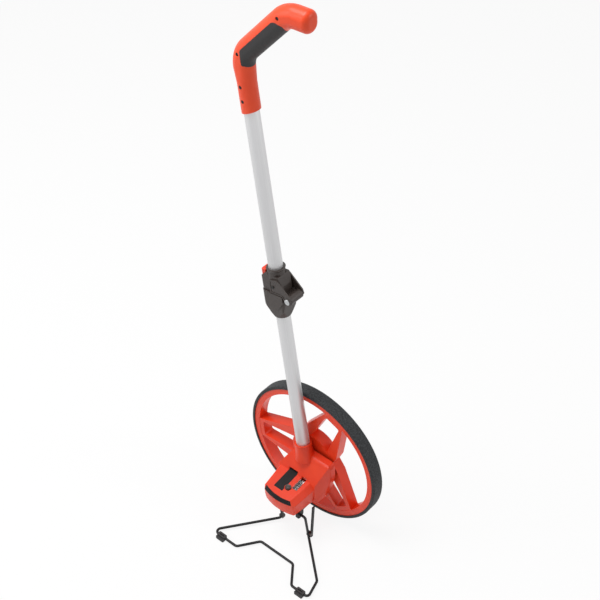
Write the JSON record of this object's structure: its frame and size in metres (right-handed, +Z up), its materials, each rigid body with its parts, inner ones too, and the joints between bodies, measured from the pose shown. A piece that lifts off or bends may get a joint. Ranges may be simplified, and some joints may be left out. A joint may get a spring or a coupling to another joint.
{
  "type": "measuring wheel",
  "caption": "Surveyor's measuring wheel: spoked wheel with rubber tyre, geared drum counter in a cantilevered housing, folding two-tube pole, bent grip and wire stand.",
  "frame": {"origin": "point where the tyre meets the ground, under the wheel's mid-plane", "axes": "+Z up, +Y along the axle from the housing towards the wheel's open side, +X towards the user"},
  "size_m": [0.291, 0.208, 1.0591],
  "materials": {
    "tyre": "matte black moulded rubber",
    "red_abs": "satin red-orange moulded ABS",
    "grip_abs": "satin orange-red moulded ABS",
    "tube": "satin anodised",
    "nylon": "dark brown-black glass-filled nylon",
    "steel": "zinc-plated steel",
    "dark_steel": "black powder coat on steel",
    "bronze": "sintered bronze",
    "acetal": "natural acetal",
    "drum_black": "matt black moulded drum, white figures",
    "drum_white": "matt white moulded drum, black figures",
    "clear": "clear polycarbonate",
    "pad_rubber": "matte black rubber",
    "foot_rubber": "matte dark grey rubber",
    "label": "matt black film"
  },
  "bodies": {
    "housing_body": {"housing": "red_abs", "rear_plate": "nylon", "gear_plate": "nylon", "plate_screw_1": "dark_steel", "plate_screw_2": "dark_steel", "plate_screw_3": "dark_steel", "axle_bush_front": "bronze", "axle_bush_rear": "bronze", "drum_shaft": "steel", "counter_frame": "nylon", "counter_window": "clear", "label_plate": "label", "nose_strip": "label", "reset_seat": "nylon", "reset_spring": "steel", "collar_screw": "steel", "lower_tube": "tube", "joint_lower": "nylon", "stand_bracket": "dark_steel", "bracket_screw_1": "dark_steel", "bracket_screw_2": "dark_steel"},
    "wheel_body": {"tyre": "tyre", "wheel": "red_abs", "axle": "steel", "axle_nut": "steel", "axle_washer": "steel", "axle_gear": "acetal"},
    "lay_body": {"lay_gear": "acetal"},
    "drum_body_1": {"counter_drum_1": "drum_black"},
    "drum_body_2": {"counter_drum_2": "drum_black"},
    "drum_body_3": {"counter_drum_3": "drum_black"},
    "drum_body_4": {"counter_drum_4": "drum_black"},
    "drum_body_5": {"counter_drum_5": "drum_white"},
    "handle": {"joint_upper": "nylon", "cheek_front": "nylon", "cheek_rear": "nylon", "cheek_screw_front_1": "dark_steel", "cheek_screw_rear_1": "dark_steel", "hinge_pin": "steel", "hinge_nut": "steel", "upper_tube": "tube", "grip_front": "grip_abs", "grip_rear": "grip_abs", "grip_pad": "pad_rubber", "grip_screw_1": "dark_steel", "grip_screw_2": "dark_steel", "grip_screw_3": "dark_steel", "grip_screw_4": "dark_steel", "latch_spring": "steel"},
    "release": {"release_button": "red_abs", "latch_hook": "steel"},
    "reset": {"reset_knob": "nylon"},
    "stand": {"stand_wire": "dark_steel", "brace_left": "dark_steel", "brace_right": "dark_steel", "clip_left": "nylon", "clip_right": "nylon", "foot_left": "foot_rubber", "foot_right": "foot_rubber"}
  },
  "joints": [
    {"name": "wheel_spin", "type": "hinge", "parent": "housing_body", "child": "wheel_body", "pos_m": [0, -0.0002, 0.14553], "axis": [0, 1, 0], "continuous": true},
    {"name": "lay_turn", "type": "hinge", "parent": "housing_body", "child": "lay_body", "pos_m": [0.0012, -0.03, 0.12447], "axis": [0, 1, 0], "continuous": true},
    {"name": "drum_turn_1", "type": "hinge", "parent": "housing_body", "child": "drum_body_1", "pos_m": [0.015, -0.074, 0.1035], "axis": [0, 1, 0], "continuous": true},
    {"name": "drum_turn_2", "type": "hinge", "parent": "housing_body", "child": "drum_body_2", "pos_m": [0.015, -0.0685, 0.1035], "axis": [0, 1, 0], "continuous": true},
    {"name": "drum_turn_3", "type": "hinge", "parent": "housing_body", "child": "drum_body_3", "pos_m": [0.015, -0.063, 0.1035], "axis": [0, 1, 0], "continuous": true},
    {"name": "drum_turn_4", "type": "hinge", "parent": "housing_body", "child": "drum_body_4", "pos_m": [0.015, -0.0575, 0.1035], "axis": [0, 1, 0], "continuous": true},
    {"name": "drum_turn_5", "type": "hinge", "parent": "housing_body", "child": "drum_body_5", "pos_m": [0.015, -0.052, 0.1035], "axis": [0, 1, 0], "continuous": true},
    {"name": "handle_fold", "type": "hinge", "parent": "housing_body", "child": "handle", "pos_m": [-0.0262, -0.0285, 0.52398], "axis": [0, 1, 0], "range_deg": [0, 150]},
    {"name": "release_press", "type": "slide", "parent": "handle", "child": "release", "axis": [0.9882, 0, 0.153], "range_m": [0, 0.003], "stiffness_N_per_m": 900, "springref_m": -0.003, "deforming": ["latch_spring"]},
    {"name": "reset_press", "type": "slide", "parent": "housing_body", "child": "reset", "axis": [0, 0.1564, -0.9877], "range_m": [0, 0.003], "stiffness_N_per_m": 300, "springref_m": -0.003, "deforming": ["reset_spring"]},
    {"name": "stand_fold", "type": "hinge", "parent": "housing_body", "child": "stand", "pos_m": [0.012, -0.083, 0.065], "axis": [-1, 0, 0], "range_deg": [0, 80]}
  ],
  "couplings": [
    {"joint": "lay_turn", "follows": "wheel_spin", "ratio": -2},
    {"joint": "drum_turn_1", "follows": "wheel_spin", "ratio": 0.0003},
    {"joint": "drum_turn_2", "follows": "wheel_spin", "ratio": 0.003},
    {"joint": "drum_turn_3", "follows": "wheel_spin", "ratio": 0.03},
    {"joint": "drum_turn_4", "follows": "wheel_spin", "ratio": 0.3},
    {"joint": "drum_turn_5", "follows": "wheel_spin", "ratio": 3}
  ]
}
